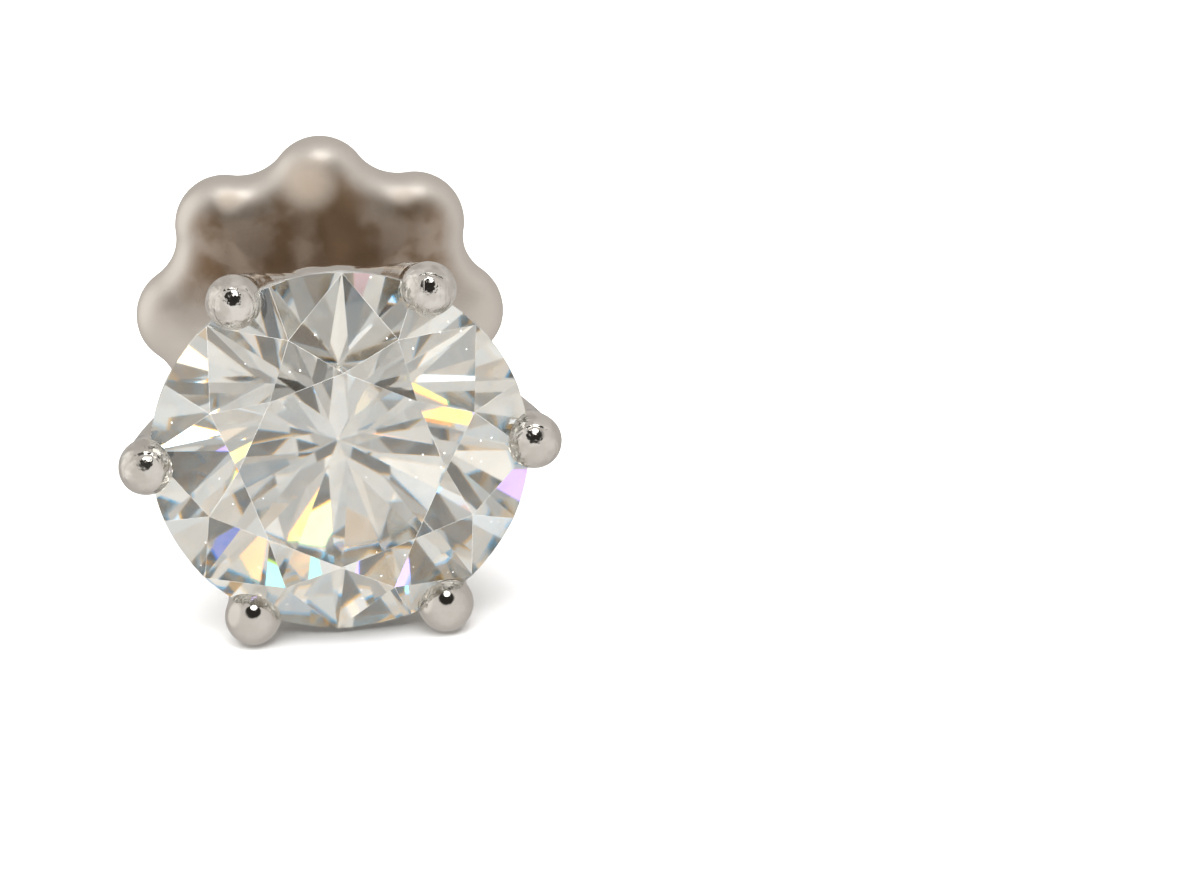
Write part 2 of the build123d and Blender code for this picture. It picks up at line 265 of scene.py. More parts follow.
# Studio. Each patch is a soft-edged round light or dark thing in the room; azimuth 0 is in
# front of the stone and 90 to its right. The metal mirrors one table of patches and the stone
# gathers its light through the other.
Patch = namedtuple("Patch", "azimuth elevation radius edge colour")
STONE_ROOM_FRONT = (0.80, 0.78, 0.75)
STONE_ROOM_BACK = (0.95, 0.94, 0.93)
STONE_ROOM_MOTTLE = (0.62, 1.28)
METAL_ROOM_FRONT = (0.74, 0.72, 0.69)
METAL_ROOM_BACK = (0.50, 0.48, 0.455)
METAL_ROOM_MOTTLE = (0.97, 1.03)
ROOM_IN_METAL = (
    Patch(2, 45, 33, 9, (0.03, 0.028, 0.025)),
    Patch(12, 65, 12, 4, (4.5, 4.5, 4.4)),
    Patch(-98, 10, 34, 20, (0.90, 0.88, 0.84)),
)
ROOM_IN_STONE = (
    Patch(60, -47, 14, 6, (0.26, 0.25, 0.23)),
    Patch(-42, -58, 12, 5, (0.28, 0.27, 0.25)),
    Patch(10, -18, 8, 4, (1.20, 1.20, 1.20)),
    Patch(-15, -20, 7, 4, (1.15, 1.15, 1.15)),
    Patch(6, 25, 7, 4, (1.30, 1.25, 1.18)),
    Patch(-8, 23, 7, 3, (0.08, 0.07, 0.06)),
    Patch(-20, 0, 6, 2, (0.10, 0.09, 0.08)),
    Patch(-36, 5, 6, 2, (0.10, 0.09, 0.08)),
    Patch(-55, 7, 6, 2, (0.08, 0.07, 0.07)),
    Patch(-40, -33, 7, 2, (0.05, 0.05, 0.10)),
    Patch(0, -32, 5, 2, (0.10, 0.12, 0.22)),
    Patch(12, 2, 6, 2, (0.16, 0.15, 0.14)),
    Patch(27, 15, 6, 2, (0.12, 0.11, 0.10)),
    Patch(27, 25, 6, 2, (0.12, 0.11, 0.10)),
    Patch(-2, -13, 4, 2, (0.12, 0.10, 0.08)),
    Patch(0, -9, 4, 2, (0.14, 0.14, 0.14)),
    Patch(-42, 15, 4, 2, (0.14, 0.12, 0.10)),
    Patch(7, 33, 4, 2, (0.14, 0.13, 0.12)),
    Patch(38, 2, 7, 3, (0.06, 0.05, 0.04)),
    Patch(55, 22, 6, 2, (0.30, 0.26, 0.23)),
    Patch(24, -27, 6, 2, (0.18, 0.17, 0.16)),
    Patch(83, -33, 7, 2, (0.05, 0.05, 0.05)),
    Patch(20, -60, 6, 2, (0.05, 0.05, 0.05)),
    Patch(20, 49, 4, 2, (0.14, 0.13, 0.12)),
    Patch(-7, 44, 5, 2, (0.14, 0.13, 0.12)),
    Patch(-22, 50, 3, 2, (0.30, 0.40, 1.10)),
    Patch(0, 84, 18, 8, (0.22, 0.18, 0.14)),
    Patch(20, -78, 18, 6, (1.25, 1.25, 1.28)),
    Patch(-66, -10, 12, 5, (1.50, 1.50, 1.50)),
    Patch(-80, -30, 11, 5, (1.50, 1.50, 1.50)),
    Patch(76, -10, 9, 4, (1.50, 1.50, 1.50)),
    Patch(10, 60, 7, 2, (5.00, 4.80, 4.40)),
    Patch(-17, 25, 3, 1, (3.40, 2.00, 0.60)),
    Patch(51, 17, 2, 1, (4.00, 2.60, 0.80)),
    Patch(22, 39, 3, 1, (1.30, 0.90, 2.60)),
    Patch(29, -9, 3, 1, (1.60, 1.20, 3.40)),
    Patch(-25, -7, 2, 1, (0.90, 2.60, 3.20)),
    Patch(6, -8, 2, 1, (2.80, 2.50, 1.20)),
    Patch(14, 51, 2, 1, (4.00, 4.00, 4.00)),
    Patch(26, 47, 2, 1, (2.40, 2.10, 0.90)),
    Patch(58, 36, 4, 1, (2.60, 2.40, 2.00)),
    Patch(-64, 29, 3, 1, (2.40, 2.40, 2.40)),
    Patch(10, -44, 3, 1, (2.60, 2.60, 2.20)),
)
ROOM_MOTTLE_SCALE = 5.0
ROOM_DEPTHS = (-0.9, 0.9)  # from its front to its back, in a room of radius 1
OVERHEAD_AZIMUTH = -20
OVERHEAD_ELEVATION = 78
OVERHEAD_STRENGTH = 5.0
OVERHEAD_SPREAD = 80
FLOOR_COLOUR = (0.93, 0.93, 0.93)
FLOOR_REACH = 3000.0
LIGHT_BOUNCES = 32
GLOSSY_BOUNCES = 16
BRIGHTEST_BOUNCE = 10

# Derived sizes
HALF_GIRDLE = GIRDLE_THICKNESS / 2
TABLE_HEIGHT = CROWN_HEIGHT + HALF_GIRDLE
TABLE_RADIUS = GIRDLE_RADIUS * TABLE_RATIO
PAVILION_SLOPE = math.tan(math.radians(PAVILION_ANGLE))
CULET_HEIGHT = -HALF_GIRDLE - GIRDLE_RADIUS * PAVILION_SLOPE
FACET_STEP = 360 / MAIN_FACETS
PRONG_STEP = 360 / PRONG_COUNT
LOBE_STEP = 360 / LOBE_COUNT
BACK_FRONT = -BACK_MIDDLE_DEPTH + BACK_THICKNESS / 2
BACK_REAR = -BACK_MIDDLE_DEPTH - BACK_THICKNESS / 2
CELL_CORNERS = [np.array(corner) for corner in np.ndindex(2, 2, 2)]


# ---- the stud's own frame ------------------------------------------------------------------

def stud_matrix():
    """Matrix from the stud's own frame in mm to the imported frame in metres."""
    back = Vector(frame["joints"][0]["axis"]).normalized()
    out = -back
    right = Vector((1, 0, 0))
    up = out.cross(right)
    low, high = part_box("stone")
    table_reach = MM * (TABLE_HEIGHT * back.y + TABLE_RADIUS * -back.z)
    middle = Vector(((low.x + high.x) / 2, low.y + table_reach, (low.z + high.z) / 2))
    turn = Matrix((right, up, out)).transposed().to_4x4()
    return Matrix.Translation(middle) @ turn @ Matrix.Scale(MM, 4)


STUD = stud_matrix()


def polar(radius, angle, height=0.0):
    """Point at a radius and an angle in degrees about the stud's axis."""
    turn = math.radians(angle)
    return Vector((radius * math.cos(turn), radius * math.sin(turn), height))


def mesh_places(mesh):
    places = np.empty(3 * len(mesh.vertices))
    mesh.vertices.foreach_get("co", places)
    return places.reshape(-1, 3)


def lay_in_row(mesh, **extra):
    """Keep the mesh's millimetres for its materials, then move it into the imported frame."""
    for name, values in {"stud_mm": mesh_places(mesh), **extra}.items():
        kept = mesh.attributes.new(name, "FLOAT_VECTOR", "POINT")
        kept.data.foreach_set("vector", np.asarray(values, dtype=float).ravel())
    mesh.transform(STUD)


def add_piece(name, mesh, body, replaced):
    """Object that rides on a body and stands for CAD nodes."""
    piece = bpy.data.objects.new(name, mesh)
    bpy.context.scene.collection.objects.link(piece)
    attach(piece, body)
    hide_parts(*replaced)
    return piece


def mesh_from(name, points, faces):
    mesh = bpy.data.meshes.new(name)
    mesh.from_pydata(np.asarray(points).tolist(), [], np.asarray(faces).tolist())
    mesh.validate()
    mesh.update()
    return mesh


def clean_surface(bm):
    """Merge points that coincide and take away faces squeezed flat or laid on each other."""
    bmesh.ops.remove_doubles(bm, verts=bm.verts[:], dist=MERGE_REACH)
    bmesh.ops.dissolve_degenerate(bm, edges=bm.edges[:], dist=MERGE_REACH)
    shared = {}
    for face in bm.faces:
        shared.setdefault(frozenset(face.verts), []).append(face)
    doubled = [face for faces in shared.values() if len(faces) > 1 for face in faces]
    bmesh.ops.delete(bm, geom=doubled, context="FACES")


# ---- stone ---------------------------------------------------------------------------------

def stone_points(angle):
    """Corners of the crown and pavilion facets beside one main facet at this angle."""
    half_step = FACET_STEP / 2
    table_edge = TABLE_RADIUS * math.cos(math.radians(half_step))
    star_tip = table_edge + STAR_LENGTH * (GIRDLE_RADIUS - table_edge)
    crown_slope = CROWN_HEIGHT / (GIRDLE_RADIUS - TABLE_RADIUS)
    star_reach = star_tip * math.cos(math.radians(half_step))
    star_height = TABLE_HEIGHT - (star_reach - TABLE_RADIUS) * crown_slope
    lower_tip = (1 - LOWER_HALF_LENGTH) * GIRDLE_RADIUS
    lower_reach = lower_tip * math.cos(math.radians(half_step))
    lower_height = CULET_HEIGHT + lower_reach * PAVILION_SLOPE
    return {
        "table": polar(TABLE_RADIUS, angle, TABLE_HEIGHT),
        "next_table": polar(TABLE_RADIUS, angle + FACET_STEP, TABLE_HEIGHT),
        "star_before": polar(star_tip, angle - half_step, star_height),
        "star_after": polar(star_tip, angle + half_step, star_height),
        "girdle_top": polar(GIRDLE_RADIUS, angle, HALF_GIRDLE),
        "girdle_top_before": polar(GIRDLE_RADIUS, angle - half_step, HALF_GIRDLE),
        "girdle_top_after": polar(GIRDLE_RADIUS, angle + half_step, HALF_GIRDLE),
        "girdle_foot": polar(GIRDLE_RADIUS, angle, -HALF_GIRDLE),
        "girdle_foot_before": polar(GIRDLE_RADIUS, angle - half_step, -HALF_GIRDLE),
        "girdle_foot_after": polar(GIRDLE_RADIUS, angle + half_step, -HALF_GIRDLE),
        "lower_before": polar(lower_tip, angle - half_step, lower_height),
        "lower_after": polar(lower_tip, angle + half_step, lower_height),
    }


def facet_planes():
    """(point, outward normal) of every facet except the table, the culet and the girdle."""
    culet = Vector((0, 0, CULET_HEIGHT))
    planes = []
    for index in range(MAIN_FACETS):
        p = stone_points(90 + STONE_TURN + index * FACET_STEP)
        corners = (
            (p["table"], p["star_before"], p["star_after"]),
            (p["table"], p["next_table"], p["star_after"]),
            (p["girdle_top"], p["girdle_top_before"], p["star_before"]),
            (p["girdle_top"], p["girdle_top_after"], p["star_after"]),
            (culet, p["lower_before"], p["lower_after"]),
            (p["girdle_foot"], p["girdle_foot_before"], p["lower_before"]),
            (p["girdle_foot"], p["girdle_foot_after"], p["lower_after"]),
        )
        for first, second, third in corners:
            normal = (second - first).cross(third - first).normalized()
            if normal.dot(first) < 0:
                normal = -normal
            planes.append((first, normal))
    return planes


def stone_bmesh(margin=0.0):
    """Exact round brilliant, its planes moved outwards by a margin."""
    bm = bmesh.new()
    top = TABLE_HEIGHT + margin
    bottom = CULET_HEIGHT + CULET_RADIUS * PAVILION_SLOPE - margin
    made = bmesh.ops.create_cone(
        bm, cap_ends=True, segments=GIRDLE_SEGMENTS,
        radius1=GIRDLE_RADIUS + margin, radius2=GIRDLE_RADIUS + margin, depth=top - bottom,
    )
    bmesh.ops.translate(bm, verts=made["verts"], vec=(0, 0, (top + bottom) / 2))
    for point, normal in facet_planes():
        whole = bm.verts[:] + bm.edges[:] + bm.faces[:]
        cut = bmesh.ops.bisect_plane(
            bm, geom=whole, dist=CUT_REACH, plane_co=point + normal * margin, plane_no=normal,
            clear_outer=True,
        )
        rim = [item for item in cut["geom_cut"] if isinstance(item, bmesh.types.BMEdge)]
        bmesh.ops.edgeloop_fill(bm, edges=rim)
    bmesh.ops.remove_doubles(bm, verts=bm.verts[:], dist=WELD_REACH)
    bmesh.ops.recalc_face_normals(bm, faces=bm.faces[:])
    return bm


def make_stone():
    """Faceted stone with a frosted girdle and a fine abraded bevel along the crown's edges, white
    in patches: partly abrasion, partly painted highlight.
    """
    mesh = bpy.data.meshes.new("stone_facets")
    bm = stone_bmesh()
    for face in bm.faces:
        level = abs(face.calc_center_median().z) < HALF_GIRDLE
        upright = abs(face.normal.z) < GIRDLE_FACE_TILT
        face.material_index = GIRDLE_SLOT if level and upright else 0
    crown_edges = [
        edge for edge in bm.edges
        if min(corner.co.z for corner in edge.verts) > HALF_GIRDLE / 2
        and edge.calc_face_angle(0) > math.radians(WORN_EDGE_LEAST_ANGLE)
    ]
    bmesh.ops.bevel(
        bm, geom=crown_edges, offset=STONE_EDGE_WEAR, offset_type="OFFSET", segments=1,
        profile=0.5, affect="EDGES", clamp_overlap=True, material=WORN_EDGE_SLOT,
    )
    clean_surface(bm)
    bm.to_mesh(mesh)
    bm.free()
    mesh.materials.append(diamond_material())
    mesh.materials.append(girdle_material())
    mesh.materials.append(worn_edge_and_highlight_material())
    lay_in_row(mesh)
    return add_piece("brilliant_stone", mesh, "stud", ["stone"])


# ---- setting -------------------------------------------------------------------------------

def smooth_min(first, second, width):
    """Polynomial smooth minimum of two distance fields."""
    share = np.clip(0.5 + 0.5 * (second - first) / width, 0, 1)
    return second + (first - second) * share - width * share * (1 - share)


def wall_radius(height):
    """Radius of the middle of the crown's wall at a height, through its tip, bend and foot."""
    knots = (
        (BEAD_HEIGHT, BEAD_CIRCLE_RADIUS),
        (-CROWN_BEND_DEPTH, CROWN_BEND_RADIUS),
        (-CROWN_FOOT_DEPTH, CROWN_FOOT_RADIUS),
    )
    radius = 0
    for here, value in knots:
        others = [other for other, _ in knots if other != here]
        share = 1
        for other in others:
            share = share * (height - other) / (here - other)
        radius = radius + share * value
    return radius


def section_size(height, key):
    """Half width or half thickness of a prong at a height, read from its sections."""
    rows = sorted(PRONG_SECTIONS, key=lambda row: row["height"])
    return np.interp(height, [row["height"] for row in rows], [row[key] for row in rows])


def prong_field(points, angle):
    """Distance to one prong with its bead, at an angle in degrees about the axis."""
    turn = math.radians(angle)
    x, y, z = points.T
    reach = x * math.cos(turn) + y * math.sin(turn)
    across = y * math.cos(turn) - x * math.sin(turn)
    thick = section_size(z, "half_thickness")
    wide = section_size(z, "half_width")
    inward = (reach - wall_radius(np.clip(z, -CROWN_FOOT_DEPTH, BEAD_HEIGHT))) / thick
    sideways = across / wide
    level = np.sqrt(inward**2 + sideways**2)
    slope = np.sqrt((inward / thick)**2 + (sideways / wide)**2) / np.maximum(level, TINY)
    side = (level - 1) / np.maximum(slope, TINY)
    end = np.maximum(z - BEAD_HEIGHT, -CROWN_FOOT_DEPTH - z)
    stem = np.maximum(side, end)
    bead = np.sqrt(
        (reach - BEAD_CIRCLE_RADIUS)**2 + across**2 + (z - BEAD_HEIGHT)**2
    ) - BEAD_RADIUS
    return smooth_min(stem, bead, BEAD_BLEND)


def ring_field(points):
    """Distance to the turned ring below the arches and its closed back plate."""
    x, y, z = points.T
    radius = np.hypot(x, y)
    half = CROWN_RING_THICKNESS / 2
    level = np.clip(z, -CROWN_FOOT_DEPTH, -ARCH_BOTTOM_DEPTH)
    lean = (wall_radius(-ARCH_BOTTOM_DEPTH) - CROWN_FOOT_RADIUS) / (
        CROWN_FOOT_DEPTH - ARCH_BOTTOM_DEPTH)
    level = np.clip(
        level + (radius - wall_radius(level)) * lean / (1 + lean**2),
        -CROWN_FOOT_DEPTH, -ARCH_BOTTOM_DEPTH,
    )
    wall = np.hypot(radius - wall_radius(level), z - level) - half
    rounding = PLATE_EDGE_TAPER
    plate_middle = -CROWN_FOOT_DEPTH - PLATE_THICKNESS / 2
    out = radius - (CROWN_FOOT_RADIUS + half - PLATE_EDGE_TAPER / 2) + rounding
    over = np.abs(z - plate_middle) - PLATE_THICKNESS / 2 + rounding
    plate = (
        np.hypot(np.maximum(out, 0), np.maximum(over, 0))
        + np.minimum(np.maximum(out, over), 0) - rounding
    )
    return smooth_min(wall, plate, rounding)


def hand_finish(points):
    """How far polishing by hand has taken the metal down, from 0 to WAVE_DEPTH."""
    turns = 2 * math.pi * points / np.array(WAVE_LENGTHS)
    mixed = (
        np.sin(turns[:, 0] + np.sin(turns[:, 1]))
        + np.sin(turns[:, 1] + np.sin(turns[:, 2]))
        + np.sin(turns[:, 2] + np.sin(turns[:, 0]))
    ) / 3
    return WAVE_DEPTH * (1 + mixed) / 2


def setting_field(points):
    """Distance to the ring and its six prongs, soldered with soft fillets."""
    field = ring_field(points)
    for index in range(PRONG_COUNT):
        field = smooth_min(field, prong_field(points, index * PRONG_STEP), PRONG_BLEND)
    return field + hand_finish(points)


def surface_net(field, low, high, step):
    """Points and quads of a distance field's zero surface, one point in each crossed cell."""
    axes = [np.arange(start, end + step, step) for start, end in zip(low, high)]
    grid = np.stack(np.meshgrid(*axes, indexing="ij"), axis=-1)
    values = field(grid.reshape(-1, 3)).reshape(grid.shape[:3])
    inside = values < 0
    cells = tuple(size - 1 for size in values.shape)
    count = sum(
        inside[tuple(slice(near, near + size) for near, size in zip(corner, cells))].astype(int)
        for corner in CELL_CORNERS
    )
    crossed = (count > 0) & (count < len(CELL_CORNERS))
    where = np.argwhere(crossed)
    number = np.full(cells, -1)
    number[crossed] = np.arange(len(where))
    total, hits = crossings(values, where)
    return np.array(low) + step * total / hits[:, None], net_quads(inside, number)


def crossings(values, where):
    """Sum and count of the places, in steps, where each cell's edges meet the surface."""
    total = np.zeros((len(where), 3))
    hits = np.zeros(len(where))
    for axis in range(3):
        for start in CELL_CORNERS:
            if start[axis]:
                continue
            end = start.copy()
            end[axis] = 1
            first = values[tuple((where + start).T)]
            second = values[tuple((where + end).T)]
            change = (first < 0) != (second < 0)
            share = np.where(change, first / np.where(change, first - second, 1), 0)
            place = where + start + share[:, None] * (end - start)
            total += np.where(change[:, None], place, 0)
            hits += change
    return total, hits


def net_quads(inside, number):
    """Quads round the grid's edges that cross the surface, through the four cells beside each."""
    quads = []
    for axis in range(3):
        one, two = (axis + 1) % 3, (axis + 2) % 3
        ahead = [slice(None)] * 3
        behind = [slice(None)] * 3
        ahead[axis] = slice(1, None)
        behind[axis] = slice(None, -1)
        change = inside[tuple(ahead)] != inside[tuple(behind)]
        edges = np.argwhere(change)
        edges = edges[(edges[:, one] > 0) & (edges[:, two] > 0)]
        around = []
        for back_one, back_two in ((1, 1), (0, 1), (0, 0), (1, 0)):
            cell = edges.copy()
            cell[:, one] -= back_one
            cell[:, two] -= back_two
            around.append(number[tuple(cell.T)])
        quad = np.stack(around, axis=1)
        flip = ~inside[tuple(edges.T)]
        quad[flip] = quad[flip][:, ::-1]
        quads.append(quad)
    return np.concatenate(quads)


def pull_to_surface(field, points, rounds=3, reach=1e-3):
    """Newton steps that bring points onto a distance field's zero surface."""
    for _ in range(rounds):
        value = field(points)
        slope = np.stack([
            (field(points + reach * side) - field(points - reach * side)) / (2 * reach)
            for side in np.eye(3)
        ], axis=1)
        points = points - value[:, None] * slope / np.sum(slope**2, axis=1)[:, None]
    return points


def carve(mesh, tool_bm):
    """Copy, in triangles, of a closed mesh with a closed tool taken away from it exactly."""
    tool_mesh = bpy.data.meshes.new("carving_tool")
    tool_bm.to_mesh(tool_mesh)
    tool_bm.free()
    tool = bpy.data.objects.new("carving_tool", tool_mesh)
    blank = bpy.data.objects.new("carving_blank", mesh)
    for item in (tool, blank):
        bpy.context.scene.collection.objects.link(item)
    cut = blank.modifiers.new("carve", "BOOLEAN")
    cut.operation = "DIFFERENCE"
    cut.solver = "MANIFOLD"
    cut.object = tool
    bpy.context.view_layer.update()
    carved = bpy.data.meshes.new_from_object(
        blank.evaluated_get(bpy.context.evaluated_depsgraph_get())
    )
    bpy.data.objects.remove(tool)
    bpy.data.objects.remove(blank)
    bm = bmesh.new()
    bm.from_mesh(carved)
    bmesh.ops.triangulate(bm, faces=bm.faces[:])
    clean_surface(bm)
    bm.to_mesh(carved)
    bm.free()
    return carved


def bead_places(points):
    """Each point's place from the nearest bead's middle: along the girdle, outwards and up."""
    angle = np.degrees(np.arctan2(points[:, 1], points[:, 0]))
    turn = np.radians(np.round(angle / PRONG_STEP) * PRONG_STEP)
    outwards = points[:, 0] * np.cos(turn) + points[:, 1] * np.sin(turn)
    along = points[:, 1] * np.cos(turn) - points[:, 0] * np.sin(turn)
    return np.stack([along, outwards - BEAD_CIRCLE_RADIUS, points[:, 2] - BEAD_HEIGHT], axis=1)


def make_setting():
    """Crown of six prongs on its ring and plate, with the stone's seats cut into it."""
    reach = BEAD_CIRCLE_RADIUS + BEAD_RADIUS + SETTING_MARGIN
    low = (-reach, -reach, -CROWN_FOOT_DEPTH - PLATE_THICKNESS - SETTING_MARGIN)
    high = (reach, reach, BEAD_HEIGHT + BEAD_RADIUS + SETTING_MARGIN)
    points, quads = surface_net(setting_field, low, high, SETTING_STEP)
    points = pull_to_surface(setting_field, points)
    mesh = carve(mesh_from("setting_surface", points, quads), stone_bmesh(NOTCH_GAP))
    mesh.shade_smooth()
    mesh.set_sharp_from_angle(angle=math.radians(SETTING_CREASE))
    mesh.materials.clear()
    mesh.materials.append(polished_material())
    lay_in_row(mesh, bead_mm=bead_places(mesh_places(mesh)))
    return add_piece("six_prong_setting", mesh, "stud", ["setting"])


# ---- screw back ----------------------------------------------------------------------------

def lobe_arc_radius():
    """Radius shared by the lobes' and the valleys' arcs, which meet in tangency.

    Their middles are two radii apart, which makes a quadratic equation for the radius.
    """
    reach = LOBE_OUTER_RADIUS + LOBE_VALLEY_RADIUS
    rise = LOBE_OUTER_RADIUS - LOBE_VALLEY_RADIUS
    share = 2 * (1 + math.cos(math.radians(LOBE_STEP / 2)))
    square = share - 4
    linear = -share * rise
    constant = reach**2 - share * LOBE_OUTER_RADIUS * LOBE_VALLEY_RADIUS
    return (-linear - math.sqrt(linear**2 - 4 * square * constant)) / (2 * square)


def outline_radius(angles, inset):
    """Radius of the lobed outline moved inwards by an inset, at angles in radians."""
    arc = lobe_arc_radius()
    half_step = math.radians(LOBE_STEP / 2)
    first_lobe = math.radians(90 + BACK_TURN)
    turn = np.abs((angles - first_lobe + half_step) % (2 * half_step) - half_step)
    lobe_middle = LOBE_OUTER_RADIUS - arc
    valley_middle = LOBE_VALLEY_RADIUS + arc
    way = Vector((math.cos(half_step), math.sin(half_step))) * valley_middle
    way = (way - Vector((lobe_middle, 0))).normalized() * (arc - inset)
    join = math.atan2(way.y, lobe_middle + way.x)
    rest = half_step - turn
    lobe_square = (arc - inset)**2 - (lobe_middle * np.sin(turn))**2
    valley_square = (arc + inset)**2 - (valley_middle * np.sin(rest))**2
    lobe = lobe_middle * np.cos(turn) + np.sqrt(np.maximum(lobe_square, 0))
    valley = valley_middle * np.cos(rest) - np.sqrt(np.maximum(valley_square, 0))
    return np.where(turn < join, lobe, valley)


def quarter(steps):
    """Sines and cosines of even steps over a quarter turn."""
    turns = np.linspace(0, math.pi / 2, steps + 1)
    return np.sin(turns), np.cos(turns)


def bridge(row_count, column_count):
    """Quads that join closed rows of points, each to the next, and the last to the first."""
    row, column = np.meshgrid(np.arange(row_count), np.arange(column_count), indexing="ij")
    next_row = (row + 1) % row_count
    next_column = (column + 1) % column_count
    corners = (
        row * column_count + column,
        next_row * column_count + column,
        next_row * column_count + next_column,
        row * column_count + next_column,
    )
    return np.stack([corner.ravel() for corner in corners], axis=1)


def front_rows(angles):
    """Radii and heights of the nut's rows from the bore's mouth over the face to the side."""
    mouth = BORE_RADIUS + BORE_LEAD_IN
    rim = outline_radius(angles, BACK_FRONT_ROUNDING)
    lobes = np.cos(LOBE_COUNT * (angles - math.radians(90 + BACK_TURN)))
    rows = []
    for share in np.linspace(0, 1, BACK_FACE_ROWS):
        puff = PUFF_HEIGHT * math.sin(math.pi * share**PUFF_BIAS)**2
        rows.append(((1 - share) * mouth + share * rim, BACK_FRONT + puff * lobes))
    sines, cosines = quarter(BACK_ROUNDING_STEPS)
    for sine, cosine in zip(sines[1:], cosines[1:]):
        inset = BACK_FRONT_ROUNDING * (1 - sine)
        rows.append((outline_radius(angles, inset), BACK_FRONT - BACK_EDGE_ROUNDING * (1 - cosine)))
    return rows


def rear_rows(angles):
    """Radii and heights of the nut's rows from the side round the rear to the hub's foot."""
    sines, cosines = quarter(BACK_ROUNDING_STEPS)
    rows = []
    for sine, cosine in zip(sines, cosines):
        inset = BACK_REAR_ROUNDING * (1 - cosine)
        rows.append((outline_radius(angles, inset), BACK_REAR + BACK_REAR_ROUNDING * (1 - sine)))
    rim = outline_radius(angles, BACK_REAR_ROUNDING)
    foot = HUB_RADIUS + HUB_FILLET
    for share in np.linspace(0, 1, BACK_REAR_ROWS)[1:]:
        rows.append(((1 - share) * rim + share * foot, BACK_REAR))
    return rows


def hub_rows():
    """Radii and heights of the nut's rows from the hub's foot over its end and up the bore."""
    sines, cosines = quarter(BACK_ROUNDING_STEPS)
    foot = HUB_RADIUS + HUB_FILLET
    end = BACK_REAR - HUB_LENGTH
    rows = []
    for sine, cosine in zip(sines[1:], cosines[1:]):
        rows.append((foot - HUB_FILLET * sine, BACK_REAR - HUB_FILLET * (1 - cosine)))
    for sine, cosine in zip(sines, cosines):
        inset = HUB_EDGE_ROUNDING * (1 - cosine)
        rows.append((HUB_RADIUS - inset, end + HUB_EDGE_ROUNDING * (1 - sine)))
    rows += [
        (BORE_RADIUS + BORE_CHAMFER, end),
        (BORE_RADIUS, end + BORE_CHAMFER),
        (BORE_RADIUS, BACK_FRONT - BORE_LEAD_IN),
    ]
    return rows


def make_screw_back():
    """Puffed, scalloped nut with a short hub behind, all one closed skin."""
    angles = np.linspace(0, 2 * math.pi, BACK_SEGMENTS, endpoint=False)
    ones = np.ones(BACK_SEGMENTS)
    rows = [
        (radius * ones, height * ones)
        for radius, height in front_rows(angles) + rear_rows(angles) + hub_rows()
    ]
    points = np.concatenate([
        np.stack([radii * np.cos(angles), radii * np.sin(angles), heights], axis=1)
        for radii, heights in rows
    ])
    mesh = mesh_from("screw_back_surface", points, bridge(len(rows), BACK_SEGMENTS))
    mesh.shade_smooth()
    mesh.set_sharp_from_angle(angle=math.radians(BACK_CREASE))
    mesh.materials.append(satin_material())
    lay_in_row(mesh)
    return add_piece("scalloped_screw_back", mesh, "back", ["screw_back"])


# ---- ear post ------------------------------------------------------------------------------

def post_profile():
    """Radii and depths along the post: shank, relief groove, tail and rounded tip."""
    relief_end = SHANK_LENGTH + RELIEF_LENGTH
    sines, cosines = quarter(POST_TIP_STEPS)
    tip_start = POST_LENGTH - POST_TIP_ROUNDING
    flat_tip = TAIL_RADIUS - POST_TIP_ROUNDING
    profile = [
        (SHANK_RADIUS - EDGE_BREAK, 0),
        (SHANK_RADIUS, EDGE_BREAK),
        (SHANK_RADIUS, SHANK_LENGTH - SHOULDER_CHAMFER),
        (SHANK_RADIUS - SHOULDER_CHAMFER, SHANK_LENGTH),
        (RELIEF_RADIUS, SHANK_LENGTH),
        (RELIEF_RADIUS, relief_end),
        (TAIL_RADIUS, relief_end + TAIL_RADIUS - RELIEF_RADIUS),
    ]
    profile += [
        (flat_tip + POST_TIP_ROUNDING * cosine, tip_start + POST_TIP_ROUNDING * sine)
        for sine, cosine in zip(sines, cosines)
    ]
    return profile


def make_ear_post():
    """Post turned from bar, closed at both ends."""
    profile = post_profile()
    start = CROWN_FOOT_DEPTH + PLATE_THICKNESS + POST_SEAT_GAP
    angles = np.linspace(0, 2 * math.pi, POST_SEGMENTS, endpoint=False)
    points = [
        polar(radius, math.degrees(angle), -start - depth)
        for radius, depth in profile
        for angle in angles
    ]
    faces = bridge(len(profile), POST_SEGMENTS)[:-POST_SEGMENTS].tolist()
    last_row = (len(profile) - 1) * POST_SEGMENTS
    faces.append(list(range(POST_SEGMENTS)))
    faces.append(list(range(last_row + POST_SEGMENTS - 1, last_row - 1, -1)))
    mesh = bpy.data.meshes.new("post_surface")
    mesh.from_pydata(points, [], faces)
    mesh.update()
    mesh.shade_smooth()
    mesh.set_sharp_from_angle(angle=math.radians(POST_CREASE))
    mesh.materials.append(polished_material())
    lay_in_row(mesh, bead_mm=bead_places(mesh_places(mesh)))
    return add_piece("turned_ear_post", mesh, "stud", ["ear_post"])


# ---- materials -----------------------------------------------------------------------------

def new_material(name):
    material = bpy.data.materials.new(name)
    material.use_nodes = True
    material.node_tree.nodes.clear()
    return material, material.node_tree


def add_node(tree, kind, inputs, **settings):
    """Node with its settings and its inputs, which are values or other nodes' outputs."""
    node = tree.nodes.new("ShaderNode" + kind)
    for name, value in settings.items():
        setattr(node, name, value)
    for name, value in inputs.items():
        if isinstance(value, bpy.types.NodeSocket):
            tree.links.new(value, node.inputs[name])
        else:
            node.inputs[name].default_value = value
    return node


def remap(tree, value, span, result=(0, 1)):
    """Value taken smoothly from one span to another, and held at its ends."""
    levels = {
        "Value": value, "From Min": span[0], "From Max": span[1],
        "To Min": result[0], "To Max": result[1],
    }
    return add_node(tree, "MapRange", levels, interpolation_type="SMOOTHSTEP").outputs[0]


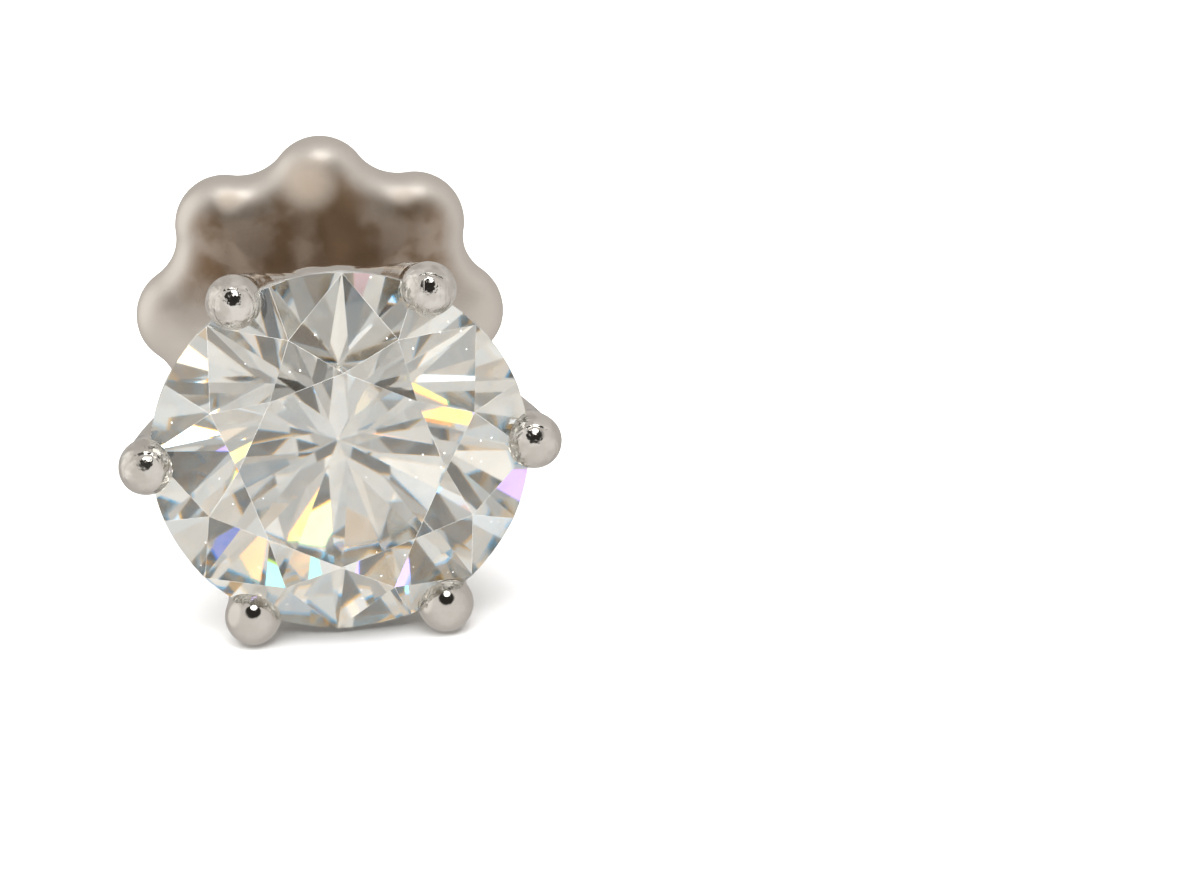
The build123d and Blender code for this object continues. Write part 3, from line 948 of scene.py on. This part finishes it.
def calculate(tree, operation, first, second=0.0):
    return add_node(tree, "Math", {0: first, 1: second}, operation=operation).outputs[0]


def hypotenuse(tree, first, second):
    squares = [calculate(tree, "POWER", side, 2.0) for side in (first, second)]
    return calculate(tree, "SQRT", calculate(tree, "ADD", *squares))


def bump_normal(tree, height, bump):
    return add_node(tree, "Bump", {"Height": height, **bump}).outputs[0]


def mix_colours(tree, share, first, second, blend="MIX"):
    inputs = {MIX_SHARE: share, MIX_FIRST: first, MIX_SECOND: second}
    made = add_node(tree, "Mix", inputs, data_type="RGBA", blend_type=blend)
    return made.outputs[MIX_RESULT]


def noise(tree, place, per_mm, detail=2.0, stretch=(1, 1, 1), turn=(0, 0, 0)):
    """Noise with about so many lumps a mm, drawn out along an axis where stretch is small."""
    laid = add_node(tree, "Mapping", {"Vector": place, "Rotation": turn, "Scale": stretch})
    inputs = {"Vector": laid.outputs[0], "Scale": per_mm, "Detail": detail}
    return add_node(tree, "TexNoise", inputs).outputs[0]


def fine_noise(tree, place, per_mm):
    return noise(tree, place, per_mm, detail=3.0)


def finish_surface(tree, shader):
    add_node(tree, "OutputMaterial", {"Surface": shader})


def stud_place(tree):
    return add_node(tree, "Attribute", {}, attribute_name="stud_mm").outputs["Vector"]


def diamond_material():
    """Clear stone. The ray from the camera splits in two colours, which makes its fire."""
    material, tree = new_material("diamond")
    split = []
    for share in STONE_FIRE:
        colour = [part * tint for part, tint in zip(share["colour"], STONE_TINT)]
        inputs = {"Color": (*colour, 1), "Roughness": STONE_SOFTNESS, "IOR": share["ior"]}
        split.append(add_node(tree, "BsdfGlass", inputs).outputs[0])
    seen = add_node(tree, "MixShader", {0: 0.5, 1: split[0], 2: split[1]}).outputs[0]
    cells = add_node(tree, "TexVoronoi", {"Vector": stud_place(tree), "Scale": DUST_PER_MM}).outputs
    dust = calculate(tree, "LESS_THAN", cells["Distance"], DUST_SIZE)
    speck = add_node(tree, "BsdfDiffuse", {"Color": (*DUST_COLOUR, 1)}).outputs[0]
    seen = add_node(tree, "MixShader", {0: dust, 1: seen, 2: speck}).outputs[0]
    inside = {"Color": (*STONE_TINT, 1), "Roughness": 0.0, "IOR": STONE_IOR}
    later = add_node(tree, "BsdfGlass", inside).outputs[0]
    depth = add_node(tree, "LightPath", {}).outputs["Ray Depth"]
    is_later = calculate(tree, "GREATER_THAN", depth, 0.5)
    finish_surface(tree, add_node(tree, "MixShader", {0: is_later, 1: seen, 2: later}).outputs[0])
    return material


def girdle_material():
    """Frosted belt, left by the grinding that rounds the stone."""
    material, tree = new_material("bruted_girdle")
    grain = fine_noise(tree, stud_place(tree), GIRDLE_GRAINS_PER_MM)
    inputs = {
        "Color": (*GIRDLE_COLOUR, 1), "IOR": STONE_IOR,
        "Roughness": remap(tree, grain, NOISE_SPAN, GIRDLE_ROUGHNESS),
        "Normal": bump_normal(tree, grain, GIRDLE_BUMP),
    }
    finish_surface(tree, add_node(tree, "BsdfGlass", inputs).outputs[0])
    return material


def worn_edge_and_highlight_material():
    """Facet edges, white along parts of their length: partly abrasion, partly painted highlight
    lines.
    """
    material, tree = new_material("worn_facet_edges_and_painted_highlight")
    inputs = {"Color": (*STONE_TINT, 1), "Roughness": WORN_EDGE_ROUGHNESS, "IOR": STONE_IOR}
    clear = add_node(tree, "BsdfGlass", inputs).outputs[0]
    white = add_node(tree, "BsdfDiffuse", {"Color": (*EDGE_ABRASION_AND_HIGHLIGHT_COLOUR, 1)}).outputs[0]
    patches = noise(tree, stud_place(tree), EDGE_ABRASION_AND_HIGHLIGHT_PER_MM)
    # Patches of white on the edges: partly abrasion, partly painted highlight.
    wear_and_highlight = remap(tree, patches, EDGE_ABRASION_AND_HIGHLIGHT_SPAN, EDGE_ABRASION_AND_HIGHLIGHT_SHARE)
    finish_surface(tree, add_node(tree, "MixShader", {0: wear_and_highlight, 1: clear, 2: white}).outputs[0])
    return material


def scratches(tree, place, per_mm, turn):
    """Thin straight scratches, 0 to 1, about so many to a mm across."""
    lines = noise(tree, place, per_mm, 1.0, HAIRLINE_STRETCH, turn)
    return remap(tree, lines, HAIRLINE_SPAN)


def worked_share(tree, place, on_bead):
    """How much the setter's tools have worked the metal, 0 to 1: only on the beads."""
    height = add_node(tree, "SeparateXYZ", {0: place}).outputs[1]
    away = add_node(tree, "VectorMath", {0: on_bead}, operation="LENGTH").outputs["Value"]
    return calculate(
        tree, "MULTIPLY", remap(tree, height, WORKED_HEIGHTS, WORKED_SHARE),
        remap(tree, away, WORKED_REACH, (1, 0)))


def tool_ring(tree, place, on_bead, smudges):
    """Broken, wandering ring that the beading tool presses into a bead, 0 to 1."""
    parts = add_node(tree, "SeparateXYZ", {0: on_bead}).outputs
    wander = noise(tree, place, TOOL_RING_WANDERS_PER_MM)
    wander = calculate(tree, "MULTIPLY", wander, TOOL_RING_WANDER)
    radius = calculate(tree, "ADD", hypotenuse(tree, parts[0], parts[1]), wander)
    off = calculate(tree, "ABSOLUTE", calculate(tree, "SUBTRACT", radius, TOOL_RING_RADIUS))
    return calculate(
        tree, "MULTIPLY", remap(tree, off, (0.0, TOOL_RING_WIDTH), (1, 0)),
        remap(tree, smudges, TOOL_RING_SPAN))


def polished_material():
    """White gold, cast and polished by hand: near mirror, with hairlines and soft smudges.

    The beads are also dented, nicked, scuffed and ringed by the setter's tools.
    """
    material, tree = new_material("polished_white_gold")
    place = stud_place(tree)
    on_bead = add_node(tree, "Attribute", {}, attribute_name="bead_mm").outputs["Vector"]
    smudges = fine_noise(tree, place, POLISH_SMUDGES_PER_MM)
    grain = fine_noise(tree, place, POLISH_GRAINS_PER_MM)
    bright = remap(tree, noise(tree, place, POLISH_BRIGHT_PER_MM), POLISH_BRIGHT_SPAN)
    hairs = calculate(
        tree, "MAXIMUM", *(scratches(tree, place, **hairline) for hairline in HAIRLINES))
    worked = worked_share(tree, place, on_bead)
    height = calculate(
        tree, "SUBTRACT", calculate(tree, "MULTIPLY", grain, POLISH_GRAIN_HEIGHT), hairs)
    for mark, size in (
        (noise(tree, place, DENTS_PER_MM), DENT_HEIGHT),
        (noise(tree, place, NICKS_PER_MM), NICK_HEIGHT),
        (hairs, -SCUFF_DEPTH),
        (tool_ring(tree, place, on_bead, smudges), -TOOL_RING_DEPTH),
    ):
        mark = calculate(tree, "MULTIPLY", mark, worked)
        height = calculate(tree, "ADD", height, calculate(tree, "MULTIPLY", mark, size))
    colour = mix_colours(
        tree, remap(tree, smudges, NOISE_SPAN), (*POLISH_COLOUR, 1), (*POLISH_SMUDGE_COLOUR, 1))
    bright = calculate(tree, "MULTIPLY", bright, worked)
    colour = mix_colours(tree, bright, colour, (*POLISH_BRIGHT_COLOUR, 1))
    rough = remap(tree, smudges, SMUDGE_SPAN, POLISH_ROUGHNESS)
    scuffed = calculate(tree, "MULTIPLY", hairs, HAIRLINE_ROUGHNESS)
    inputs = {
        "Base Color": colour, "Metallic": 1.0,
        "Roughness": calculate(tree, "ADD", rough, scuffed),
        "Normal": bump_normal(tree, height, POLISH_BUMP),
    }
    finish_surface(tree, add_node(tree, "BsdfPrincipled", inputs).outputs[0])
    return material


def painted_highlight_share(tree, place):
    """How much painted highlight the spots on the nut's face add, and how much painted shade they
    keep.
    """
    painted_highlight, shade_left = 0.0, 1.0
    for spot in PAINTED_HIGHLIGHT_SPOTS:
        middle = polar(spot["radius"], spot["angle"], BACK_FRONT)
        off = add_node(tree, "VectorMath", {0: place, 1: middle}, operation="DISTANCE")
        kept = remap(tree, off.outputs["Value"], (HIGHLIGHT_SPOT_CORE, spot["size"]), HIGHLIGHT_SPOT_SHADE_LEFT)
        shade_left = calculate(tree, "MULTIPLY", shade_left, kept)
        painted_highlight = calculate(tree, "ADD", painted_highlight, calculate(tree, "SUBTRACT", 1.0, kept))
    return painted_highlight, shade_left


def satin_material():
    """White gold of the nut: duller, with fine turning lines, painted shade in brown on its front
    face and painted highlight spots on its top lobes.
    """
    material, tree = new_material("satin_white_gold")
    place = stud_place(tree)
    parts = add_node(tree, "SeparateXYZ", {0: place}).outputs
    smudges = fine_noise(tree, place, SATIN_SMUDGES_PER_MM)
    grain = fine_noise(tree, place, SATIN_GRAINS_PER_MM)
    wander = noise(tree, place, TURNING_WANDERS_PER_MM)
    wander = calculate(tree, "MULTIPLY", wander, TURNING_WANDER)
    radius = calculate(tree, "ADD", hypotenuse(tree, parts[0], parts[1]), wander)
    turned = calculate(tree, "SINE", calculate(tree, "MULTIPLY", radius, TURNING_RATE))
    height = calculate(tree, "ADD", calculate(tree, "MULTIPLY", turned, TURNING_HEIGHT), grain)

    painted_highlight, shade_left = painted_highlight_share(tree, place)
    # Painted shade: the front face browned, more so higher up and in blotches, for the dark setting
    # it mirrors.
    depths = [BACK_FRONT + depth for depth in PAINTED_SHADE_DEPTHS]
    painted_shade = remap(tree, parts[2], depths)
    for share in (
        remap(tree, parts[1], PAINTED_SHADE_HEIGHTS, PAINTED_SHADE_SHARE),
        remap(tree, smudges, PAINTED_SHADE_PATCH_SPAN, PAINTED_SHADE_PATCH_SHARE),
        shade_left,
    ):
        painted_shade = calculate(tree, "MULTIPLY", painted_shade, share)
    colour = mix_colours(tree, painted_shade, (*SATIN_COLOUR, 1), (*PAINTED_SHADE_COLOUR, 1))
    # Painted highlight: warm pale spots on the top lobes, made rougher too.
    colour = mix_colours(tree, painted_highlight, colour, (*PAINTED_HIGHLIGHT_COLOUR, 1))

    depths = [-BACK_MIDDLE_DEPTH + depth for depth in SATIN_FRONT_DEPTHS]
    rough = remap(tree, smudges, SMUDGE_SPAN, SATIN_ROUGHNESS)
    for more in (
        remap(tree, parts[2], depths, SATIN_FRONT_ROUGHNESS),
        calculate(tree, "MULTIPLY", painted_highlight, HIGHLIGHT_SPOT_ROUGHNESS),
    ):
        rough = calculate(tree, "ADD", rough, more)
    inputs = {
        "Base Color": colour, "Metallic": 1.0, "Roughness": rough,
        "Normal": bump_normal(tree, height, SATIN_BUMP),
    }
    finish_surface(tree, add_node(tree, "BsdfPrincipled", inputs).outputs[0])
    return material


def floor_material():
    material, tree = new_material("floor_white")
    paint = add_node(tree, "BsdfDiffuse", {"Color": (*FLOOR_COLOUR, 1)})
    finish_surface(tree, paint.outputs[0])
    return material


# ---- studio --------------------------------------------------------------------------------

def sight_line(azimuth, elevation):
    """Unit vector from the stud towards an azimuth and elevation; azimuth 0 is -Y."""
    az, el = math.radians(azimuth), math.radians(elevation)
    return Vector((math.sin(az) * math.cos(el), -math.cos(az) * math.cos(el), math.sin(el)))


def add_camera():
    """Camera at the photo's angle and distance, turned a little aside to frame it the same."""
    towards = sight_line(CAMERA_AZIMUTH, CAMERA_ELEVATION)
    level = Vector((0, 0, 1)).cross(towards).normalized()
    above = towards.cross(level)
    roll = math.radians(CAMERA_ROLL)
    right = math.cos(roll) * level - math.sin(roll) * above
    up = math.sin(roll) * level + math.cos(roll) * above
    middle = STUD.to_translation()
    place = middle + MM * CAMERA_DISTANCE * towards
    aim = middle + MM * (AIM_RIGHT * right + AIM_UP * up)
    back = (place - aim).normalized()
    side = (right - back * right.dot(back)).normalized()
    turn = Matrix((side, back.cross(side), back)).transposed().to_4x4()
    lens = bpy.data.cameras.new("photo_camera")
    lens.lens = CAMERA_LENS
    lens.sensor_width = CAMERA_SENSOR
    lens.clip_start = MM * CAMERA_NEAREST
    lens.clip_end = MM * CAMERA_FARTHEST
    camera = bpy.data.objects.new("photo_camera", lens)
    bpy.context.scene.collection.objects.link(camera)
    camera.matrix_world = Matrix.Translation(place) @ turn
    bpy.context.scene.camera = camera


def room_colour(tree, way, front, back, mottle, patches):
    """Colour of a room from its front to its back, mottled, under its patches in turn."""
    depth = add_node(tree, "SeparateXYZ", {0: way}).outputs[1]
    colour = mix_colours(tree, remap(tree, depth, ROOM_DEPTHS), (*front, 1), (*back, 1))
    lumps = remap(tree, noise(tree, way, ROOM_MOTTLE_SCALE), NOISE_SPAN, mottle)
    colour = mix_colours(tree, 1.0, colour, lumps, "MULTIPLY")
    for patch in patches:
        middle = sight_line(patch.azimuth, patch.elevation)
        towards = add_node(tree, "VectorMath", {0: way, 1: middle}, operation="DOT_PRODUCT")
        outer = math.cos(math.radians(patch.radius + patch.edge / 2))
        inner = math.cos(math.radians(patch.radius - patch.edge / 2))
        share = remap(tree, towards.outputs["Value"], (outer, inner))
        colour = mix_colours(tree, share, colour, (*patch.colour, 1))
    return colour


def set_room():
    """Room round the stud: white to the camera, and apart for the metal and the stone."""
    world = bpy.data.worlds.new("studio")
    bpy.context.scene.world = world
    world.use_nodes = True
    tree = world.node_tree
    tree.nodes.clear()
    way = add_node(tree, "TexCoord", {}).outputs["Generated"]
    in_metal = room_colour(
        tree, way, METAL_ROOM_FRONT, METAL_ROOM_BACK, METAL_ROOM_MOTTLE, ROOM_IN_METAL
    )
    in_stone = room_colour(
        tree, way, STONE_ROOM_FRONT, STONE_ROOM_BACK, STONE_ROOM_MOTTLE, ROOM_IN_STONE
    )
    path = add_node(tree, "LightPath", {}).outputs
    colour = mix_colours(tree, path["Is Transmission Ray"], in_metal, in_stone)
    colour = mix_colours(tree, path["Is Camera Ray"], colour, (1, 1, 1, 1))
    background = add_node(tree, "Background", {"Color": colour})
    add_node(tree, "OutputWorld", {"Surface": background.outputs[0]})


def add_floor():
    """Plain pale floor, which neither the metal mirrors nor the stone gathers."""
    mesh = bpy.data.meshes.new("floor")
    bm = bmesh.new()
    bmesh.ops.create_grid(bm, x_segments=1, y_segments=1, size=MM * FLOOR_REACH)
    bm.to_mesh(mesh)
    bm.free()
    mesh.materials.append(floor_material())
    floor = bpy.data.objects.new("floor", mesh)
    bpy.context.scene.collection.objects.link(floor)
    floor.visible_glossy = False
    floor.visible_transmission = False


def add_overhead():
    """Broad soft light that brings the floor up to white and that the metal doesn't mirror."""
    lamp = bpy.data.lights.new("overhead", "SUN")
    lamp.energy = OVERHEAD_STRENGTH
    lamp.angle = math.radians(OVERHEAD_SPREAD)
    light = bpy.data.objects.new("overhead", lamp)
    bpy.context.scene.collection.objects.link(light)
    towards = sight_line(OVERHEAD_AZIMUTH, OVERHEAD_ELEVATION)
    light.matrix_world = towards.to_track_quat("Z", "Y").to_matrix().to_4x4()
    light.visible_glossy = False
    light.visible_transmission = False


def set_render():
    scene = bpy.context.scene
    scene.view_settings.view_transform = "Standard"
    scene.cycles.max_bounces = LIGHT_BOUNCES
    scene.cycles.transmission_bounces = LIGHT_BOUNCES
    scene.cycles.glossy_bounces = GLOSSY_BOUNCES
    scene.cycles.sample_clamp_indirect = BRIGHTEST_BOUNCE
    scene.cycles.denoising_input_passes = "RGB"


make_stone()
make_setting()
make_screw_back()
make_ear_post()
add_camera()
set_room()
add_floor()
add_overhead()
set_render()
